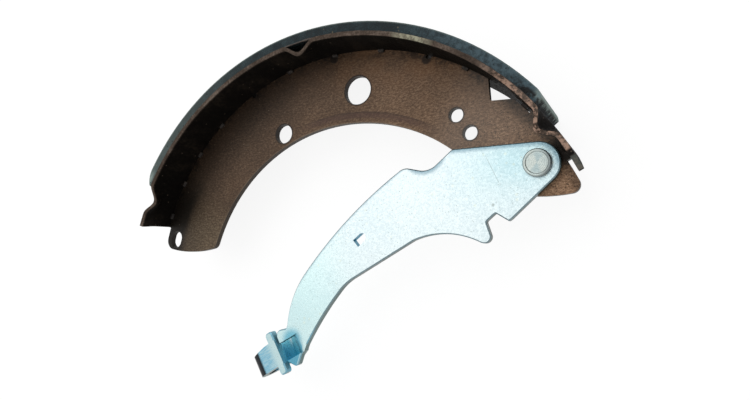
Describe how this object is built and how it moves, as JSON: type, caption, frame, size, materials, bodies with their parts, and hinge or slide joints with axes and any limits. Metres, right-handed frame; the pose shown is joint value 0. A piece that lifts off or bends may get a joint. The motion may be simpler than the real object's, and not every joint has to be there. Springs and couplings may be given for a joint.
{
  "type": "brake shoe",
  "caption": "Curved drum brake shoe with a bonded lining on a T-section steel body and a pivoting parking brake lever that ends in a curled cable hook.",
  "frame": {"origin": "on the drum's axis, level with the table's rear edge that the shoe lies on", "axes": "+Z along the drum's axis toward the lever side, +Y from the axis out through the middle of the lining, +X toward the lever's pivot (the wheel cylinder end)"},
  "size_m": [0.227, 0.1645, 0.047],
  "materials": {
    "coated_steel": "thin brown phosphate coating, slightly mottled",
    "coated_steel_rim": "dark brown phosphate coating with a lighter sheared edge",
    "weld": "dark weld metal",
    "lining": "matt slate grey friction compound, ground",
    "plated_pin": "bright bluish zinc plating",
    "plated_steel": "bright bluish zinc plating on a stamped blank"
  },
  "bodies": {
    "shoe": {"web": "coated_steel", "table": "coated_steel_rim", "weld_beads": "weld", "lining": "lining", "pivot_pin": "plated_pin"},
    "lever": {"lever": "plated_steel"}
  },
  "joints": [
    {"name": "lever_pivot", "type": "hinge", "parent": "shoe", "child": "lever", "pos_m": [0.09459, 0.05261, 0.0283], "axis": [0, 0, 1], "range_deg": [-22, 20]}
  ]
}
